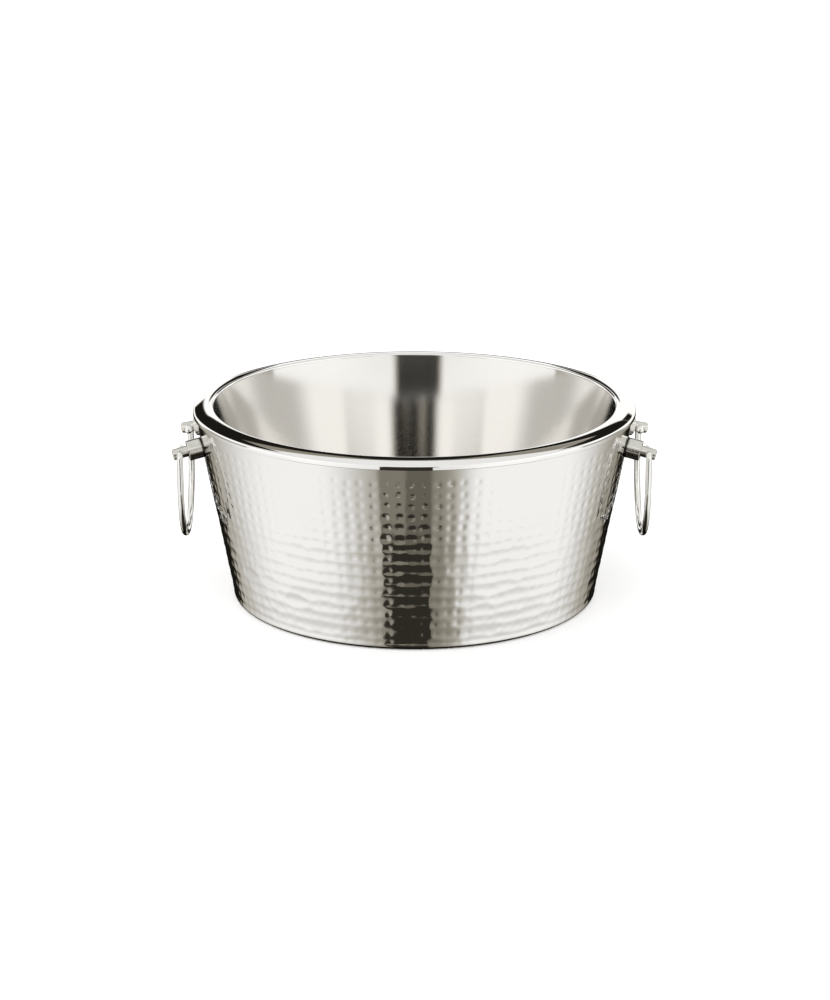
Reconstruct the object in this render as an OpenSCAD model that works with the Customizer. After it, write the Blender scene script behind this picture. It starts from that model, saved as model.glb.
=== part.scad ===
// Round double-walled beverage tub with two hinged ring handles.
// Origin: centre of the resting face. +Z up, handles at -X and +X.

/* [Tub] */
// Outside radius of the rim
rim_r = 195; // [193:0.5:198]
// Height from the table to the top of the rim
tub_h = 174; // [170:0.5:180]
// Outside radius of the wall where it would meet the table
base_r = 162; // [159:0.5:165]
// Radial width of the rim
rim_w = 18; // [17:0.5:20]
// Rounding of the bottom corner
foot_round = 4; // [3:0.5:6]
// Depth of the bowl below the rim
bowl_depth = 150; // [145:1:155]

/* [Handles] */
// Thickness of the ring wire
wire_d = 5.5; // [5:0.1:5.5]
// Drop from the hinge axis to the bottom of the ring
ring_drop = 84; // [78:1:88]
// Distance of the hinge axis from the tub axis
hinge_x = 203.4; // [203:0.1:204.5]
// Height of the hinge axis
hinge_z = 138.4; // [136:0.2:140]

/* [Hidden] */
$fn = 96;

// sheet thicknesses
shell_t = 1.2;
liner_t = 1;
rim_t = 1.2;

// rim section: inner lip, wide crown arc, small edge arc, short skirt
rim_h = 7;
lip_r = 2;
crown_w = rim_w - lip_r;
crown_r = 48;
edge_r = 2.5;
crown_c = [rim_r - crown_w, tub_h - crown_r];
crown_a = asin((crown_w - edge_r) / (crown_r - edge_r));
edge_c = crown_c + (crown_r - edge_r) * [sin(crown_a), cos(crown_a)];

// wall: a straight line from base_r at the table to the inside of the rim skirt
shell_top = [rim_r - rim_t, tub_h - rim_h + 2.5];
wall_run = (shell_top[0] - base_r) / shell_top[1];
wall_a = atan(wall_run);
flange_r = base_r - 16;

// bowl: outside of the liner sheet
liner_top = [rim_r - rim_w + liner_t, tub_h - lip_r];
liner_corner = [liner_top[0] - 28, tub_h - bowl_depth - liner_t];
liner_round = 17;

// posts
post_y = 43;
post_az = 12;
post_tilt = 12.5;
collar_d = 18;
collar_face = 6.4;
eye_d = 9.6;
eye_past = 7;
stud_d = 8;
stud_end = 31;
seat_z = 22.9;
washer_d = 16;
washer_gap = 0.05;
nut_h = 6.5;
nut_af = 13;
pin_clear = 0.05;

// ring
bend_gap = 0.9;
bend_r = 3.8;
bend_y = post_y + eye_d / 2 / cos(post_az) + bend_gap;
leg_y = bend_y + bend_r;
cap_d = 8;
cap_y = 33.7;
cap_seat = 0.4;

// Filled half outline of a tapered tub: corner is where wall and floor lines meet
module tub_outline(corner, top, f, floor_in) {
  s = atan((top[0] - corner[0]) / (top[1] - corner[1]));
  c = corner + [-f / tan(45 + s / 2), f];
  polygon([
    [floor_in, corner[1]],
    [c[0], corner[1]],
    c,
    c + f * [cos(s), -sin(s)],
    top,
    [floor_in, top[1]]
  ]);
  translate(c)
    circle(r = f);
}

// The same outline moved inward by the sheet thickness t and cut away
module tub_sheet(corner, top, f, t, floor_in) {
  s = atan((top[0] - corner[0]) / (top[1] - corner[1]));
  k = tan(45 + s / 2);
  difference() {
    tub_outline(corner, top, f, floor_in);
    translate([0, t])
      tub_outline(
        corner - [t / k, 0],
        top + [-t / cos(s) + 3 * t * tan(s), 2 * t],
        f - t,
        floor_in - 10
      );
  }
}

// A cone that follows the outside of the wall, moved outward by off
module wall_cone(off) {
  translate([0, 0, -20])
    cylinder(
      r1 = base_r - 20 * wall_run + off,
      r2 = base_r + (tub_h + 20) * wall_run + off,
      h = tub_h + 40,
      $fn = 720
    );
}

// Places a child with +Z along a post; sx -1 left, 1 right; sy -1 front, 1 back
module at_post(sx, sy) {
  translate([sx * hinge_x, sy * post_y, hinge_z])
    rotate([0, 0, sx > 0 ? sy * post_az : 180 - sy * post_az])
      rotate([0, 90 + post_tilt, 0])
        children();
}

// ---- tub ----

// Spun outer wall with its bottom corner and turned-in foot flange
module outer_shell() {
  color("silver")
    difference() {
      rotate_extrude()
        tub_sheet([base_r, 0], shell_top, foot_round, shell_t, flange_r);
      for (sx = [-1, 1]) {
        for (sy = [-1, 1]) {
          at_post(sx, sy)
            translate([0, 0, -stud_end])
              cylinder(d = stud_d + 0.4, h = 20);
        }
      }
    }
}

// Bottom plate resting on the foot flange
module base_disc() {
  color("gray")
    translate([0, 0, shell_t])
      cylinder(r = base_r - foot_round - 1.5, h = 1.2);
}

// Spun inner bowl
module liner_bowl() {
  color("gainsboro")
    rotate_extrude()
      difference() {
        tub_sheet(liner_corner, liner_top, liner_round, liner_t, 0);
        translate([-20, 0])
          square([20, tub_h]);
      }
}

// Outline of the rim, inset by d
module rim_outline(d) {
  intersection() {
    translate([rim_r - rim_w - 5, tub_h - rim_h])
      square([rim_w + 10, rim_h + 5]);
    union() {
      intersection() {
        translate(crown_c)
          circle(r = crown_r - d, $fn = 180);
        polygon([
          crown_c,
          crown_c + [0, 60],
          crown_c + [60 * tan(crown_a), 60]
        ]);
      }
      translate(edge_c)
        circle(r = edge_r - d);
      polygon([
        [rim_r - rim_w + lip_r, tub_h - rim_h],
        [rim_r - d, tub_h - rim_h],
        [rim_r - d, edge_c[1]],
        edge_c,
        crown_c + (crown_r - edge_r - 1) * [sin(crown_a), cos(crown_a)],
        [rim_r - rim_w + lip_r, tub_h - lip_r]
      ]);
      translate([rim_r - rim_w + lip_r, tub_h - lip_r])
        circle(r = lip_r - d);
      translate([rim_r - rim_w + d, tub_h - rim_h])
        square([lip_r, rim_h - lip_r]);
    }
  }
}

// Broad rolled rim joining the two walls
module rim_band() {
  color("white")
    rotate_extrude()
      difference() {
        rim_outline(0);
        translate([0, -1])
          rim_outline(rim_t);
        rim_outline(rim_t);
        translate([rim_r - rim_w - 5, tub_h - rim_h - 1])
          square([9, rim_h + 1 - lip_r]);
      }
}

// ---- posts ----

// Thick sleeve seated on the wall
module collar(sx, sy) {
  c = 0.6;
  color("darkgray")
    difference() {
      at_post(sx, sy) {
        translate([0, 0, -26])
          cylinder(d = collar_d, h = 26 - collar_face - c);
        translate([0, 0, -collar_face - c])
          cylinder(d1 = collar_d, d2 = collar_d - 2 * c, h = c);
      }
      at_post(sx, sy)
        translate([0, 0, -30])
          cylinder(d = stud_d + 0.2, h = 30);
      wall_cone(0);
    }
}

// Pin with the cross hole for the ring and a stud through collar and wall
module eye_post(sx, sy) {
  c = 0.8;
  color("dimgray")
    difference() {
      at_post(sx, sy) {
        translate([0, 0, -collar_face])
          cylinder(d = eye_d, h = collar_face + eye_past - c);
        translate([0, 0, eye_past - c])
          cylinder(d1 = eye_d, d2 = eye_d - 2 * c, h = c);
        translate([0, 0, -stud_end])
          cylinder(d = stud_d, h = stud_end - collar_face + 1);
      }
      translate([sx * hinge_x, sy * post_y, hinge_z])
        rotate([90, 0, 0])
          cylinder(d = wire_d + 2 * pin_clear, h = 24, center = true);
    }
}

// Washers shaped to the inside of the wall
module saddle_washers() {
  color("orange")
    for (sx = [-1, 1]) {
      for (sy = [-1, 1]) {
        intersection() {
          at_post(sx, sy)
            translate([0, 0, -seat_z])
              difference() {
                cylinder(d = washer_d, h = 8);
                translate([0, 0, -1])
                  cylinder(d = stud_d + 0.4, h = 10);
              }
          wall_cone(-shell_t / cos(wall_a) - washer_gap);
        }
      }
    }
}

// Hexagon nuts inside the wall gap
module post_nuts() {
  color("gold")
    for (sx = [-1, 1]) {
      for (sy = [-1, 1]) {
        at_post(sx, sy)
          translate([0, 0, -seat_z - nut_h])
            difference() {
              cylinder(d = nut_af / cos(30), h = nut_h, $fn = 6);
              translate([0, 0, -1])
                cylinder(d = stud_d + 0.02, h = nut_h + 2);
            }
      }
    }
}

// ---- rings ----

// Bent wire ring hanging in the plane x = hinge_x
module ring(sx) {
  leg = ring_drop - leg_y;
  color("lightsteelblue")
    translate([sx * hinge_x, 0, hinge_z]) {
      for (sy = [-1, 1]) {
        // straight pin through the post, ending in the cap
        translate([0, sy * (cap_y + cap_seat), 0])
          rotate([-90 * sy, 0, 0])
            cylinder(d = wire_d, h = bend_y - cap_y - cap_seat);
        // tight shoulder
        translate([0, sy * bend_y, -bend_r])
          rotate([0, -90, 0])
            rotate([0, 0, sy > 0 ? 0 : -90])
              rotate_extrude(angle = 90)
                translate([bend_r, 0])
                  circle(d = wire_d);
        // straight leg
        translate([0, sy * leg_y, -leg])
          cylinder(d = wire_d, h = leg - bend_r);
      }
      // round bottom
      translate([0, 0, -leg])
        rotate([0, 90, 0])
          rotate([0, 0, -90])
            rotate_extrude(angle = 180)
              translate([leg_y, 0])
                circle(d = wire_d);
    }
}

// Ball fixed on the end of the ring wire, inboard of the post. The wire ends
// cap_seat past its centre.
module cap(sx, sy) {
  color("red")
    translate([sx * hinge_x, sy * cap_y, hinge_z])
      rotate([-90 * sy, 0, 0])
        rotate_extrude()
          difference() {
            circle(d = cap_d);
            translate([-cap_d, -cap_d])
              square([cap_d, 2 * cap_d]);
            translate([-1, cap_seat])
              square([1 + wire_d / 2, cap_d]);
          }
}

outer_shell();
base_disc();
liner_bowl();
rim_band();
collar(-1, -1);  // collar_left_front
collar(-1, 1);  // collar_left_back
collar(1, -1);  // collar_right_front
collar(1, 1);  // collar_right_back
eye_post(-1, -1);  // eye_post_left_front
eye_post(-1, 1);  // eye_post_left_back
eye_post(1, -1);  // eye_post_right_front
eye_post(1, 1);  // eye_post_right_back
saddle_washers();
post_nuts();
ring(-1);  // ring_left
ring(1);  // ring_right
cap(-1, -1);  // cap_left_front
cap(-1, 1);  // cap_left_back
cap(1, -1);  // cap_right_front
cap(1, 1);  // cap_right_back
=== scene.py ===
import math

import bpy
import numpy as np
from mathutils import Matrix, Vector


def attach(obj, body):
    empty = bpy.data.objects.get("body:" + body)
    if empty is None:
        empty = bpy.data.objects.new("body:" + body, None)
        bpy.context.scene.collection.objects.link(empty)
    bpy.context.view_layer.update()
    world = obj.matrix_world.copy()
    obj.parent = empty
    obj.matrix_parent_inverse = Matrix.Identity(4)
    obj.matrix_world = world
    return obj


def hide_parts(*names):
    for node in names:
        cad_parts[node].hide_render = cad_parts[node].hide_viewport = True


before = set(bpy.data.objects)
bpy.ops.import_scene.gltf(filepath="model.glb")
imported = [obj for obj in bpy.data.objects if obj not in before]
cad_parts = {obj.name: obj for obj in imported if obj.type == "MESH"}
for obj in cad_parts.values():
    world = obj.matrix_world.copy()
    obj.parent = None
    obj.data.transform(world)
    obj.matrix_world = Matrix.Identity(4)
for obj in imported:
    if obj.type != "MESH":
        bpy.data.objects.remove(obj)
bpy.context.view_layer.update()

# ---------------------------------------------------------------------------
# Outer wall: one spun sheet of stainless steel, flared, with a rounded bottom
# corner and a turned-in foot flange. Rows of hammer marks are struck into the
# outside, faint under the rim and deep towards the bottom, then mirror polished.
# ---------------------------------------------------------------------------


def ready_to_build():
    if bpy.context.mode != "OBJECT":
        bpy.ops.object.mode_set(mode="OBJECT")
    bpy.ops.object.select_all(action="DESELECT")


def arc(centre, radius, start, end, count):
    """Points of an arc in the (radius, height) plane, angles in degrees."""
    angles = [math.radians(start + (end - start) * i / count) for i in range(count + 1)]
    return [(centre[0] + radius * math.cos(a), centre[1] + radius * math.sin(a)) for a in angles]


def line(a, b, count):
    """Points from a towards b, without b itself."""
    return [
        (a[0] + (b[0] - a[0]) * i / count, a[1] + (b[1] - a[1]) * i / count)
        for i in range(count)
    ]


class Signal:
    """A shader socket that can be added, subtracted, multiplied and divided."""

    def __init__(self, finish, socket):
        self.finish = finish
        self.socket = socket

    def __add__(self, other):
        return self.finish.calc("ADD", self, other)

    __radd__ = __add__

    def __sub__(self, other):
        return self.finish.calc("SUBTRACT", self, other)

    def __rsub__(self, other):
        return self.finish.calc("SUBTRACT", other, self)

    def __mul__(self, other):
        return self.finish.calc("MULTIPLY", self, other)

    __rmul__ = __mul__

    def __truediv__(self, other):
        return self.finish.calc("DIVIDE", self, other)

    def __rtruediv__(self, other):
        return self.finish.calc("DIVIDE", other, self)


class Finish:
    """A node material that is built one node at a time."""

    def __init__(self, name):
        self.material = bpy.data.materials.new(name)
        self.material.use_nodes = True
        self.tree = self.material.node_tree
        self.tree.nodes.clear()
        self.output = self.tree.nodes.new("ShaderNodeOutputMaterial")

    def node(self, kind, settings=None, values=None, out=0):
        made = self.tree.nodes.new(kind)
        for key, value in (settings or {}).items():
            setattr(made, key, value)
        for key, value in (values or {}).items():
            if isinstance(value, Signal):
                self.tree.links.new(value.socket, made.inputs[key])
            else:
                made.inputs[key].default_value = value
        return Signal(self, made.outputs[out])

    def place(self):
        """Object coordinates as (vector, x, y, z)."""
        coords = self.node("ShaderNodeTexCoord", out="Object")
        parts = self.tree.nodes.new("ShaderNodeSeparateXYZ")
        self.tree.links.new(coords.socket, parts.inputs[0])
        return [coords] + [Signal(self, parts.outputs[i]) for i in range(3)]

    def calc(self, operation, *values):
        return self.node("ShaderNodeMath", {"operation": operation}, dict(enumerate(values)))

    def from_axis(self, vector):
        """Distance from the Z axis."""
        flat = self.stretch(vector, (1, 1, 0))
        return self.node("ShaderNodeVectorMath", {"operation": "LENGTH"}, {0: flat}, out="Value")

    def fade(self, value, start, end, low=0.0, high=1.0):
        """low before start, high after end, smooth between."""
        return self.node(
            "ShaderNodeMapRange",
            {"interpolation_type": "SMOOTHSTEP"},
            {"Value": value, "From Min": start, "From Max": end, "To Min": low, "To Max": high},
        )

    def noise(self, vector, scale, detail=2.0, roughness=0.5):
        return self.node(
            "ShaderNodeTexNoise",
            None,
            {"Vector": vector, "Scale": scale, "Detail": detail, "Roughness": roughness},
        )

    def stretch(self, vector, scale):
        return self.node(
            "ShaderNodeVectorMath", {"operation": "MULTIPLY"}, {0: vector, 1: scale}
        )

    def blend(self, factor, a, b):
        return self.node(
            "ShaderNodeMix", {"data_type": "RGBA"}, {0: factor, 6: a, 7: b}, out=2
        )

    def bump(self, height, strength, distance):
        return self.node(
            "ShaderNodeBump",
            None,
            {"Strength": strength, "Distance": distance, "Height": height},
        )

    def metal(self, colour, roughness, normal=None, anisotropic=0.0, rotation=0.0):
        values = {
            "Base Color": colour,
            "Roughness": roughness,
            "Metallic": 1.0,
            "Anisotropic": anisotropic,
            "Anisotropic Rotation": rotation,
        }
        if normal is not None:
            values["Normal"] = normal
        shader = self.node("ShaderNodeBsdfPrincipled", None, values)
        self.tree.links.new(shader.socket, self.output.inputs["Surface"])
        return self.material


wall_foot = 0.162
shell_top = (0.1938, 0.1695)
wall_slope = (shell_top[0] - wall_foot) / shell_top[1]
wall_angle = math.atan(wall_slope)
wall_normal = (math.cos(wall_angle), -math.sin(wall_angle))
sheet = 0.0012
foot_round = 0.004
foot_inset = foot_round / math.tan(math.radians(45) + wall_angle / 2)
foot_centre = (wall_foot - foot_inset, foot_round)
flange_edge = 0.146
wall_start = (
    foot_centre[0] + foot_round * wall_normal[0],
    foot_centre[1] + foot_round * wall_normal[1],
)

mark_columns = 110
mark_pitch = 0.0099
mark_first = 0.1535
mark_rows = 16
columns_per_mark = 8
struck_to = 0.1605
hammered_top = (wall_foot + struck_to * wall_slope, struck_to)
flange_steps = 2
round_steps = 6
struck_steps = 88
plain_steps = 2

wall_path = (
    line((flange_edge, 0), (foot_centre[0], 0), flange_steps)
    + arc(foot_centre, foot_round, -90, -math.degrees(wall_angle), round_steps)[:-1]
    + line(wall_start, hammered_top, struck_steps)
    + line(hammered_top, shell_top, plain_steps)
    + line(shell_top, (shell_top[0] - sheet, shell_top[1]), 1)
    + line((shell_top[0] - sheet, shell_top[1]), (wall_start[0] - sheet, wall_start[1]), 3)
    + line((wall_start[0] - sheet, wall_start[1]), (foot_centre[0], sheet), 1)
    + line((foot_centre[0], sheet), (flange_edge, sheet), 1)
    + [(flange_edge, sheet), (flange_edge, 0)]
)
path_r = np.array([p[0] for p in wall_path])
path_z = np.array([p[1] for p in wall_path])
steps = len(wall_path) - 1

ready_to_build()
bpy.ops.mesh.primitive_grid_add(
    x_subdivisions=mark_columns * columns_per_mark, y_subdivisions=steps, size=2
)
wall = bpy.context.object
wall.name = "hammered_wall"
co = np.zeros(len(wall.data.vertices) * 3)
wall.data.vertices.foreach_get("co", co)
co = co.reshape(-1, 3)
turn = co[:, 0] * math.pi
step = np.rint((co[:, 1] + 1) / 2 * steps).astype(int)
radius, height = path_r[step], path_z[step]

# hammer marks: each is a shallow round cup with a small pit at its middle; where
# cups meet they leave a ridge, and from the seventh row down they merge into bands
wander = 0.0005
pit_depth = 0.00016
pit_width = 0.0016
marks_start = 0.0035
marks_full = 0.0065
wall_step = flange_steps + round_steps
outside = (step >= wall_step) & (step <= wall_step + struck_steps + plain_steps)
rng = np.random.RandomState(11)
jitter = rng.normal(0, 1, (4, mark_rows + 2, mark_columns))
column = turn / (2 * math.pi) * mark_columns - 0.32
row = (mark_first - height) / mark_pitch
cup = np.zeros(len(co))
dent = np.zeros(len(co))
for dr in (-1, 0, 1):
    for dc in (-1, 0, 1):
        r_i = np.clip(np.rint(row).astype(int) + dr, -1, mark_rows)
        c_i = np.rint(column).astype(int) + dc
        j = jitter[:, r_i + 1, c_i % mark_columns]
        grow = np.clip((r_i + 0.6) / 7.5, 0, 1)
        merge = np.clip((r_i - 5.5) / 2, 0, 1)
        reach = (0.016 + 0.034 * grow) * (1 + 0.1 * j[3])
        half = (0.0019 + 0.0026 * grow + 0.0028 * merge) * (1 + 0.08 * j[0])
        deep = np.where(r_i < 0, 0, half**2 / (2 * reach))
        across = (column - c_i) * 2 * math.pi * radius / mark_columns - wander * j[1]
        along = height - (mark_first - r_i * mark_pitch) - wander * j[2]
        flatter = 1.45 + 3 * merge
        cup = np.maximum(cup, deep - (across**2 / flatter + along**2) / (2 * reach))
        point = np.where(r_i < 0, 0, pit_depth * (1 + 0.35 * j[3]))
        dent = dent + point * np.exp(-(across**2 + along**2) / (2 * pit_width**2))
cup = np.where(outside, cup + dent, 0)
cup *= np.clip((height - marks_start) / (marks_full - marks_start), 0, 1)
radius = radius - cup * wall_normal[0]
height = height - cup * wall_normal[1]
co = np.stack([radius * np.cos(turn), radius * np.sin(turn), height], 1)
wall.data.vertices.foreach_set("co", co.ravel())
wall.data.update()
bpy.ops.object.mode_set(mode="EDIT")
bpy.ops.mesh.select_all(action="SELECT")
bpy.ops.mesh.remove_doubles(threshold=0.00001)
bpy.ops.object.mode_set(mode="OBJECT")
bpy.ops.object.shade_smooth_by_angle(angle=math.radians(50))

polish = Finish("hammered_mirror_steel")
spot = polish.place()[0]
cloud = polish.noise(spot, 14.0, 3.0)
haze = polish.noise(polish.stretch(spot, (1.0, 1.0, 6.0)), 90.0, 2.0)
buff = polish.noise(polish.stretch(spot, (1.0, 1.0, 14.0)), 420.0, 1.0)
wall.data.materials.append(
    polish.metal(
        polish.blend(cloud, (0.84, 0.835, 0.815, 1), (0.885, 0.88, 0.87, 1)),
        0.022 + 0.025 * haze,
        polish.bump(buff, 0.04, 0.0002),
    )
)
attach(wall, "tub")
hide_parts("outer_shell")

# ---------------------------------------------------------------------------
# Rim: a broad band of the same steel, rolled over the top of the outer wall
# and welded to the liner, with a low crown and a tight outside edge. Polished.
# ---------------------------------------------------------------------------
rim_r = 0.195
rim_top = 0.174
rim_inside = 0.177
lip = 0.002
crown_r = 0.048
edge_r = 0.0025
crown = (rim_inside + lip, rim_top - crown_r)
crown_turn = math.asin((rim_r - crown[0] - edge_r) / (crown_r - edge_r))
edge = (rim_r - edge_r, crown[1] + (crown_r - edge_r) * math.cos(crown_turn))
skirt_end = rim_top - 0.007


def turned(name, outline, count):
    """A closed outline in the (radius, height) plane turned about the Z axis."""
    ready_to_build()
    bpy.ops.mesh.primitive_circle_add(vertices=len(outline), radius=0.1, fill_type="NOTHING")
    piece = bpy.context.object
    piece.name = name
    for vertex, (r, z) in zip(piece.data.vertices, outline):
        vertex.co = (r, 0, z)
    bpy.ops.object.mode_set(mode="EDIT")
    bpy.ops.mesh.select_all(action="SELECT")
    bpy.ops.mesh.spin(steps=count, angle=2 * math.pi, center=(0, 0, 0), axis=(0, 0, 1))
    bpy.ops.mesh.select_all(action="SELECT")
    bpy.ops.mesh.remove_doubles(threshold=0.000002)
    bpy.ops.mesh.normals_make_consistent(inside=False)
    bpy.ops.object.mode_set(mode="OBJECT")
    bpy.ops.object.shade_smooth_by_angle(angle=math.radians(40))
    return piece


rim_outline = (
    line((rim_inside, rim_top - lip - 0.0002), (rim_inside, rim_top - lip), 1)
    + arc((rim_inside + lip, rim_top - lip), lip, 180, 90, 10)[:-1]
    + arc(crown, crown_r, 90, 90 - math.degrees(crown_turn), 28)[:-1]
    + arc(edge, edge_r, 90 - math.degrees(crown_turn), 0, 14)
    + [(rim_r, skirt_end + 0.0003), (rim_r - 0.0003, skirt_end), (rim_r - sheet, skirt_end)]
    + [(rim_r - sheet, edge[1])]
    + arc(edge, edge_r - sheet, 0, 90 - math.degrees(crown_turn), 4)[1:]
    + arc(crown, crown_r - sheet, 90 - math.degrees(crown_turn), 90, 8)[1:]
    + arc((rim_inside + lip, rim_top - lip), lip - sheet, 90, 180, 3)[1:]
    + [(rim_inside + sheet, rim_top - lip - 0.0002)]
)
rim = turned("rolled_rim", rim_outline, 360)

rim_polish = Finish("polished_rim_steel")
spot = rim_polish.place()[0]
wear = rim_polish.noise(spot, 35.0, 4.0)
ring_marks = rim_polish.noise(rim_polish.stretch(spot, (60.0, 60.0, 60.0)), 12.0, 2.0)
rim.data.materials.append(
    rim_polish.metal(
        rim_polish.blend(wear, (0.86, 0.855, 0.845, 1), (0.9, 0.897, 0.89, 1)),
        0.012 + 0.022 * wear,
        rim_polish.bump(ring_marks, 0.015, 0.0002),
    )
)
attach(rim, "tub")
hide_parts("rim_band")

# ---------------------------------------------------------------------------
# Liner: the inner bowl, one spun sheet with a rounded floor corner. The inside
# is brushed round and round to a fine satin.
# ---------------------------------------------------------------------------
liner_t = 0.001
liner_top = (0.177, 0.172)
liner_floor = 0.024
liner_slope = 28 / 148.5
liner_angle = math.atan(liner_slope)
liner_corner = (liner_top[0] - (liner_top[1] - liner_floor) * liner_slope, liner_floor)
corner_r = 0.016
corner_inset = corner_r / math.tan(math.radians(45) + liner_angle / 2)
corner_c = (liner_corner[0] - corner_inset, liner_floor + corner_r)
corner_end = (
    corner_c[0] + corner_r * math.cos(liner_angle),
    corner_c[1] - corner_r * math.sin(liner_angle),
)
tilt_deg = math.degrees(liner_angle)
liner_outline = (
    [(0.0, liner_floor)]
    + line((0.03, liner_floor), (corner_c[0], liner_floor), 4)
    + arc(corner_c, corner_r, -90, -tilt_deg, 16)
    + line(corner_end, liner_top, 8)[1:]
    + [liner_top, (liner_top[0] + liner_t, liner_top[1])]
    + arc(corner_c, corner_r + liner_t, -tilt_deg, -90, 8)
    + [(0.0, liner_floor - liner_t)]
)
liner = turned("satin_liner", liner_outline, 256)

satin = Finish("brushed_liner_steel")
spot = satin.place()[0]
rings = satin.noise(satin.stretch(spot, (0.6, 0.6, 40.0)), 60.0, 3.0)
fine = satin.noise(satin.stretch(spot, (1.0, 1.0, 30.0)), 260.0, 2.0)
liner.data.materials.append(
    satin.metal(
        satin.blend(rings, (0.80, 0.79, 0.765, 1), (0.86, 0.85, 0.83, 1)),
        0.065 + 0.045 * fine,
        satin.bump(fine, 0.02, 0.0003),
        anisotropic=0.5,
        rotation=0.25,
    )
)
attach(liner, "tub")
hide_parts("liner_bowl")

# ---------------------------------------------------------------------------
# Bottom plate: a flat disc set on the foot flange, with a shallow pressed ring
# that stiffens it. Plain satin steel.
# ---------------------------------------------------------------------------
plate_outline = [
    (0.0, 0.0012),
    (0.05, 0.0012),
    (0.1, 0.0012),
    (0.1385, 0.0012),
    (0.1395, 0.0016),
    (0.1425, 0.0016),
    (0.1435, 0.0012),
    (0.1565, 0.0012),
    (0.1565, 0.0024),
    (0.1, 0.0024),
    (0.0, 0.0024),
]
plate = turned("bottom_plate", plate_outline, 192)
plain = Finish("satin_plate_steel")
spot = plain.place()[0]
grain = plain.noise(plain.stretch(spot, (4.0, 90.0, 4.0)), 12.0, 4.0)
scuff = plain.noise(spot, 20.0, 5.0)
plate.data.materials.append(
    plain.metal(
        plain.blend(scuff, (0.62, 0.61, 0.59, 1), (0.7, 0.69, 0.67, 1)),
        0.3 + 0.18 * grain,
        plain.bump(grain, 0.15, 0.0002),
    )
)
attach(plate, "tub")
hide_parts("base_disc")

# ---------------------------------------------------------------------------
# Posts: a thick turned sleeve seated on the wall and a thinner pin out of it,
# with a cross hole for the ring. Turned steel left with a fine satin.
# ---------------------------------------------------------------------------
hinge = (0.2034, 0.0, 0.1384)
post_y = 0.043
post_turn = math.radians(12)
post_tilt = math.radians(12.5)
sleeve_r = 0.009
sleeve_back = -0.0215
sleeve_face = -0.0064
sleeve_edge = 0.0006
socket_r = 0.005
socket_floor = sleeve_face - 0.001
pin_r = 0.0048
pin_back = sleeve_face - 0.0009
pin_end = 0.007
pin_edge = 0.0008
hole_r = 0.0028

turned_satin = Finish("turned_post_steel")
spot, _, _, pz = turned_satin.place()
mottle = turned_satin.noise(spot, 160.0, 3.0)
lathe = turned_satin.noise(turned_satin.stretch(spot, (26.0, 1.0, 1.0)), 240.0, 2.0)
# painted shade: the steel turns near black in a thin ring where each sleeve meets the wall, standing in
# for the shadow at the seat
seat = turned_satin.from_axis(spot) - wall_foot - pz * wall_slope
steel = turned_satin.blend(mottle, (0.58, 0.575, 0.525, 1), (0.78, 0.775, 0.735, 1))
post_material = turned_satin.metal(
    turned_satin.blend(turned_satin.fade(seat, 0.0006, 0.0022), (0.07, 0.065, 0.055, 1), steel),
    0.08 + 0.09 * lathe,
    turned_satin.bump(lathe, 0.1, 0.0002),
)


def post_place(sx, sy):
    """Where a piece modelled along +Z goes to lie along a post."""
    spin = sy * post_turn if sx > 0 else math.pi - sy * post_turn
    return (
        Matrix.Translation((sx * hinge[0], sy * post_y, hinge[2]))
        @ Matrix.Rotation(spin, 4, "Z")
        @ Matrix.Rotation(math.pi / 2 + post_tilt, 4, "Y")
    )


sides = {"left": -1, "right": 1}
ends = {"front": -1, "back": 1}
for side, sx in sides.items():
    for end, sy in ends.items():
        sleeve = turned(
            f"sleeve_{side}_{end}",
            [(0.0, sleeve_back), (sleeve_r, sleeve_back), (sleeve_r, sleeve_face - 2 * sleeve_edge)]
            + arc((sleeve_r - sleeve_edge, sleeve_face - sleeve_edge), sleeve_edge, 0, 90, 5)
            + [(socket_r, sleeve_face), (socket_r, socket_floor), (0.0, socket_floor)],
            72,
        )
        sleeve.data.transform(post_place(sx, sy))
        sleeve.data.materials.append(post_material)
        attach(sleeve, "tub")
        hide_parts(f"collar_{side}_{end}")

        pin = turned(
            f"pin_{side}_{end}",
            [(0.0, pin_back), (pin_r, pin_back), (pin_r, pin_end - pin_edge)]
            + arc((pin_r - pin_edge, pin_end - pin_edge), pin_edge, 0, 90, 5)
            + [(0.0, pin_end)],
            64,
        )
        pin.data.transform(post_place(sx, sy))
        ready_to_build()
        bpy.ops.mesh.primitive_cylinder_add(
            vertices=48,
            radius=hole_r,
            depth=0.03,
            location=(sx * hinge[0], sy * post_y, hinge[2]),
            rotation=(math.pi / 2, 0, 0),
        )
        drill = bpy.context.object
        cut = pin.modifiers.new("cross_hole", "BOOLEAN")
        cut.operation = "DIFFERENCE"
        cut.object = drill
        bpy.context.view_layer.objects.active = pin
        bpy.ops.object.modifier_apply(modifier=cut.name)
        bpy.data.objects.remove(drill)
        ready_to_build()
        pin.select_set(True)
        bpy.context.view_layer.objects.active = pin
        bpy.ops.object.shade_smooth_by_angle(angle=math.radians(35))
        pin.data.materials.clear()
        pin.data.materials.append(post_material)
        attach(pin, "tub")
        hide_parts(f"eye_post_{side}_{end}")

# ---------------------------------------------------------------------------
# Washers and nuts: four of each in the gap between the walls, drawn up on the
# threads of the posts. Plain grey steel, in their CAD shapes, and never seen.
# ---------------------------------------------------------------------------
zinc = Finish("plain_fastener_steel")
spot = zinc.place()[0]
blotch = zinc.noise(spot, 220.0, 4.0)
fastener_material = zinc.metal(
    zinc.blend(blotch, (0.5, 0.5, 0.5, 1), (0.64, 0.64, 0.63, 1)), 0.3 + 0.2 * blotch
)
for name in ("saddle_washers", "post_nuts"):
    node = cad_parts[name]
    node.data.materials.clear()
    node.data.materials.append(fastener_material)

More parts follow.
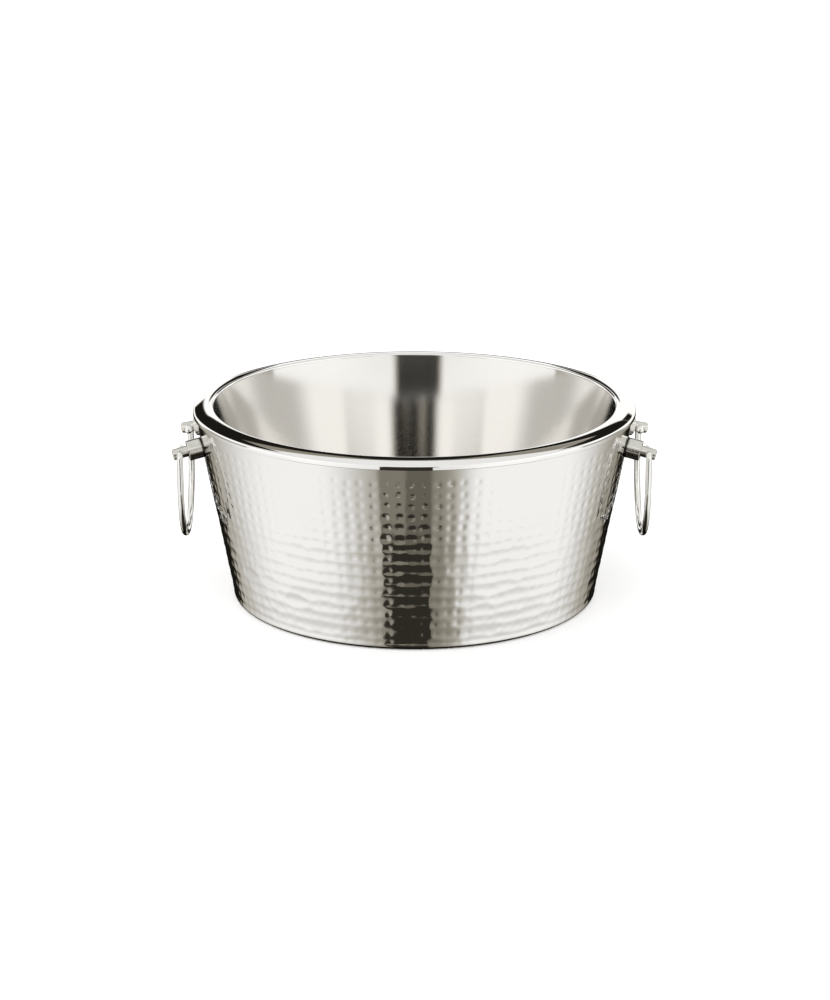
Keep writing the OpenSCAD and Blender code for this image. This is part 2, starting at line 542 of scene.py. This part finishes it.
# ---------------------------------------------------------------------------
# Rings: one length of round bar each, bent to a stirrup with a round bottom
# and two tight shoulders, its ends turned in through the posts. Polished.
# ---------------------------------------------------------------------------
bar_r = 0.00275
shoulder_r = 0.0038
shoulder_y = post_y + pin_r / math.cos(post_turn) + 0.0009
leg_y = shoulder_y + shoulder_r
leg_drop = 0.084 - leg_y
bar_end = 0.0341

bright = Finish("polished_bar_steel")
spot = bright.place()[0]
drawn = bright.noise(spot, 120.0, 3.0)
bar_material = bright.metal(
    bright.blend(drawn, (0.83, 0.825, 0.8, 1), (0.9, 0.895, 0.88, 1)),
    0.05 + 0.06 * drawn,
    bright.bump(drawn, 0.04, 0.0002),
)


def bend(centre, angle, count):
    # spin turns the other way round the axis than the right-hand rule
    bpy.ops.mesh.spin(steps=count, angle=-angle, center=centre, axis=(1, 0, 0))


def draw(dy, dz):
    bpy.ops.mesh.extrude_region_move(TRANSFORM_OT_translate={"value": (0, dy, dz)})


for side, sx in sides.items():
    x = sx * hinge[0]
    ready_to_build()
    bpy.ops.mesh.primitive_circle_add(
        vertices=40,
        radius=bar_r,
        fill_type="NGON",
        location=(x, -bar_end, hinge[2]),
        rotation=(math.pi / 2, 0, 0),
    )
    bpy.ops.object.transform_apply(location=True, rotation=True, scale=True)
    bar = bpy.context.object
    bar.name = f"bar_ring_{side}"
    bpy.ops.object.mode_set(mode="EDIT")
    bpy.ops.mesh.select_all(action="SELECT")
    draw(-(shoulder_y - bar_end), 0)
    bend((x, -shoulder_y, hinge[2] - shoulder_r), math.pi / 2, 12)
    draw(0, -(leg_drop - shoulder_r))
    bend((x, 0, hinge[2] - leg_drop), math.pi, 72)
    draw(0, leg_drop - shoulder_r)
    bend((x, shoulder_y, hinge[2] - shoulder_r), math.pi / 2, 12)
    draw(-(shoulder_y - bar_end), 0)
    bpy.ops.mesh.select_all(action="SELECT")
    bpy.ops.mesh.remove_doubles(threshold=0.000002)
    bpy.ops.mesh.normals_make_consistent(inside=False)
    bpy.ops.object.mode_set(mode="OBJECT")
    bpy.ops.object.shade_smooth_by_angle(angle=math.radians(40))
    bar.data.materials.append(bar_material)
    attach(bar, f"{side}_handle")
    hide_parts(f"ring_{side}")

# ---------------------------------------------------------------------------
# End balls: pressed on the turned-in ends of each bar, just inside the posts,
# so that the ring can't pull out. Polished.
# ---------------------------------------------------------------------------
ball_r = 0.004
ball_y = 0.0337
ball_seat = 0.0004
open_edge = math.degrees(math.asin(bar_r / ball_r))
for side, sx in sides.items():
    for end, sy in ends.items():
        ball = turned(
            f"end_ball_{side}_{end}",
            arc((0, 0), ball_r, -90, 90 - open_edge, 28) + [(bar_r, ball_seat), (0.0, ball_seat)],
            48,
        )
        ball.data.transform(
            Matrix.Translation((sx * hinge[0], sy * ball_y, hinge[2]))
            @ Matrix.Rotation(-sy * math.pi / 2, 4, "X")
        )
        ball.data.materials.append(bar_material)
        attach(ball, f"{side}_handle")
        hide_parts(f"cap_{side}_{end}")

# ---------------------------------------------------------------------------
# Studio: a plain pale floor, soft white light all round, and the bright and
# dark cards that polished metal needs around it. Only reflections see the cards.
# ---------------------------------------------------------------------------
ready_to_build()
bpy.ops.mesh.primitive_circle_add(
    vertices=96, radius=14, fill_type="NGON", location=(0, 0, -0.0002)
)
floor = bpy.context.object
floor.name = "floor"
paper = Finish("pale_floor_paper")
shader = paper.node(
    "ShaderNodeBsdfPrincipled",
    None,
    {
        "Base Color": (0.93, 0.93, 0.93, 1),
        "Roughness": 0.8,
        "Emission Color": (1, 1, 1, 1),
        "Emission Strength": 0.16,
    },
)
paper.tree.links.new(shader.socket, paper.output.inputs["Surface"])
floor.data.materials.append(paper.material)
floor.visible_glossy = False


# light levels of the cards, with 1 about as bright as white paper
glare = 1.3
white = 1.12
softbox = 1.02
pale = 0.9
silver = 0.72
grey = 0.6
dim_grey = 0.4
gap = 0.35
slate = 0.23
deep_slate = 0.14
dark_card = 0.03
black = 0.012


def window(finish, value, opening, opened, closing, closed):
    """1 between opened and closing, fading to 0 at opening and at closed."""
    return finish.fade(value, opening, opened) * (1 - finish.fade(value, closing, closed))


def toward(level, goal, share):
    """The level moved towards a goal by a share from 0 to 1."""
    return level + (goal - level) * share


def only_reflected(card):
    card.visible_camera = False
    card.visible_diffuse = False
    card.visible_shadow = False
    card.visible_transmission = False
    card.visible_volume_scatter = False


def glow(finish, level):
    """Light of the given level, warmer where it is dark."""
    tint = finish.blend(finish.fade(level, 0.0, 0.9), (1, 0.9, 0.7, 1), (1, 0.99, 0.975, 1))
    light = finish.node("ShaderNodeEmission", None, {"Color": tint, "Strength": level})
    finish.tree.links.new(light.socket, finish.output.inputs["Surface"])
    return finish.material


ready_to_build()
bpy.ops.mesh.primitive_circle_add(
    vertices=96, radius=4, fill_type="NGON", location=(0, 0, -0.242)
)
bpy.ops.object.transform_apply(location=True)
table = bpy.context.object
table.name = "table_card"
board = Finish("table_card")
spot, px, py, _ = board.place()
ahead = 0 - py
fan = px / (ahead - 0.027)
front = board.fade(ahead, 0.20, 0.24)
reach = board.from_axis(spot)
# bearings in degrees from straight in front, positive to the right: a softbox on
# each side, a darker gap past each of them, a pale wall behind, a shade in front
bearing = board.calc("ARCTAN2", px, ahead) * (180 / math.pi)
off_front = board.calc("ABSOLUTE", bearing)
left_box = window(board, bearing, -145, -75, -50, -8)
right_box = window(board, bearing, 5, 38, 80, 130)
back_wall = board.fade(off_front, 130, 180)
front_shade = window(board, bearing, -20, 5, 15, 30)
open_tone = gap + (softbox - gap) * (left_box + right_box) + (pale - gap) * back_wall
open_tone = open_tone * (1 - 0.35 * front_shade)
open_tone = open_tone * board.fade(reach, 0.38, 0.61, 0.70, 1.0)
open_tone = toward(open_tone, white, 0.7 * board.fade(ahead, 0.76, 0.88))
near = board.calc("MINIMUM", ahead, 0.69)
left_edge = fan + 0.286 + (near - 0.52) * 0.28 - 0.035 * board.fade(ahead, 0.9, 1.1)
strip = board.fade(left_edge, -0.004, 0.004) * (1 - board.fade(fan, 0.151, 0.157)) * front
strip_tone = toward(slate, deep_slate, board.fade(fan, -0.077, -0.074))
# painted shadow: the strip goes to dark card close to the tub, for the tub's shade on the floor
strip_tone = toward(strip_tone, dark_card, 1 - board.fade(ahead, 0.590, 0.600))
strip_tone = toward(strip_tone, grey, board.fade(ahead, 0.79, 0.86))
strip_tone = toward(strip_tone, dark_card, board.fade(ahead, 1.0, 1.1))
width = board.calc("ABSOLUTE", px)
lean = (width - 0.188) / (py + 0.001)
behind = board.fade(py, 0.02, 0.06)
edge_dark = window(board, lean, -0.1, -0.05, 0.5, 0.85) * behind
far_dark = board.fade(py, 0.5, 0.6) * (1 - board.fade(width / (py + 0.001), 0.12, 0.16))
open_tone = open_tone * (1 - edge_dark * 0.98) * (1 - far_dark * 0.95)
board_level = toward(open_tone, strip_tone, strip)
# painted shadow: the card goes near black close round the tub, for the tub's shade on the floor as
# reflections see it
board_level = board_level * board.fade(reach, 0.29, 0.37, 0.03, 1.0)
table.data.materials.append(glow(board, board_level))
only_reflected(table)

ready_to_build()
tent_r = 6.0
tent_middle = 0.1
bpy.ops.mesh.primitive_uv_sphere_add(
    segments=96, ring_count=48, radius=tent_r, location=(0, 0, tent_middle)
)
bpy.ops.object.transform_apply(location=True)
tent = bpy.context.object
tent.name = "light_tent"
cloth = Finish("light_tent")
_, px, py, pz = cloth.place()
rise = (pz - tent_middle) / tent_r
fan = px / (0 - py)
front = 1 - cloth.fade(py, -0.3, -0.1)
back = cloth.fade(py, 0.1, 0.3)
spread = cloth.calc("ABSOLUTE", px / py)
strip = window(cloth, fan, -0.34, -0.24, 0.16, 0.25) * front * (1 - cloth.fade(rise, 0.17, 0.22))
top = cloth.fade(rise, 0.56, 0.66)
side_glare = cloth.fade(rise, 0.31, 0.36) * cloth.fade(spread, 0.5, 0.7) * (1 - top)
level = toward(toward(white, pale, top), glare, side_glare)
level = toward(level, black, strip)
dim = back * cloth.fade(spread, 0.9, 1.4) * (1 - cloth.fade(rise, 0.3, 0.5))
level = toward(level, dim_grey, dim)
frontal = front * (1 - cloth.fade(spread, 0.3, 1.4)) * window(cloth, rise, 0.1, 0.24, 0.36, 0.45)
level = toward(level, silver, frontal * (1 - strip))

# dark cards behind the tub, each an upright window in bearing and in rise
across = px / py
right = cloth.fade(across, 0.02, 0.12)
middle_part = 1 - cloth.fade(spread, 0.05, 0.1)
low = 0.300 + 0.04 * right
high = 0.50 - 0.03 * right + 0.08 * middle_part + 0.16 * cloth.fade(spread, 0.25, 0.33)
room = cloth.fade(rise - low, 0, 0.012) * (1 - cloth.fade(rise - high, -0.02, 0.02)) * back
room = room * (1 - cloth.fade(spread, 0.42, 0.6))
flag = back * window(cloth, across, -0.6, -0.45, -0.21, -0.18) * window(cloth, rise, 0.2, 0.22, 0.33, 0.4)
edge_flag = back * window(cloth, across, 0.24, 0.26, 0.4, 0.5) * window(cloth, rise, 0.28, 0.3, 0.34, 0.36)
patch = back * window(cloth, spread, 0.098, 0.102, 0.142, 0.150)
patch = patch * window(cloth, rise, 0.07, 0.09, 0.256, 0.262)
skyline = back * (1 - cloth.fade(spread, 0.12, 0.16)) * (1 - cloth.fade(rise, 0.03, 0.07))
lintel = back * (1 - cloth.fade(spread, 0.27, 0.33)) * window(cloth, rise, 0.46, 0.49, 0.60, 0.64) * 0.75
dark = 1 - (1 - room) * (1 - lintel) * (1 - flag) * (1 - edge_flag) * (1 - patch) * (1 - skyline)
level = toward(level, black, dark)
tent.data.materials.append(glow(cloth, level))
only_reflected(tent)

world = bpy.data.worlds.new("soft_white_room")
world.use_nodes = True
world.node_tree.nodes["Background"].inputs["Color"].default_value = (1, 1, 1, 1)
world.node_tree.nodes["Background"].inputs["Strength"].default_value = 1.08
bpy.context.scene.world = world

ready_to_build()
bpy.ops.object.light_add(type="AREA", location=(-0.6, -0.9, 2.2))
lamp = bpy.context.object
lamp.name = "overhead_softbox"
lamp.data.shape = "DISK"
lamp.data.size = 2.5
lamp.data.energy = 12
lamp_aim = Vector((0, 0, 0.1))
lamp.rotation_euler = (lamp_aim - Vector(lamp.location)).to_track_quat("-Z", "Y").to_euler()
lamp.visible_glossy = False

# ---------------------------------------------------------------------------
# Camera: a long lens a little over two metres away, looking slightly down.
# ---------------------------------------------------------------------------
eye_rise = math.radians(17.05)
eye_far = 2.145
middle = 0.087
ready_to_build()
bpy.ops.object.camera_add(
    location=(0, -eye_far * math.cos(eye_rise), middle + eye_far * math.sin(eye_rise))
)
camera = bpy.context.object
camera.data.lens = 86.4
camera.data.sensor_width = 36
aim = Vector((0.0005, 0, 0.0822))
camera.rotation_euler = (aim - Vector(camera.location)).to_track_quat("-Z", "Y").to_euler()
bpy.context.scene.camera = camera
bpy.context.scene.view_settings.view_transform = "Standard"
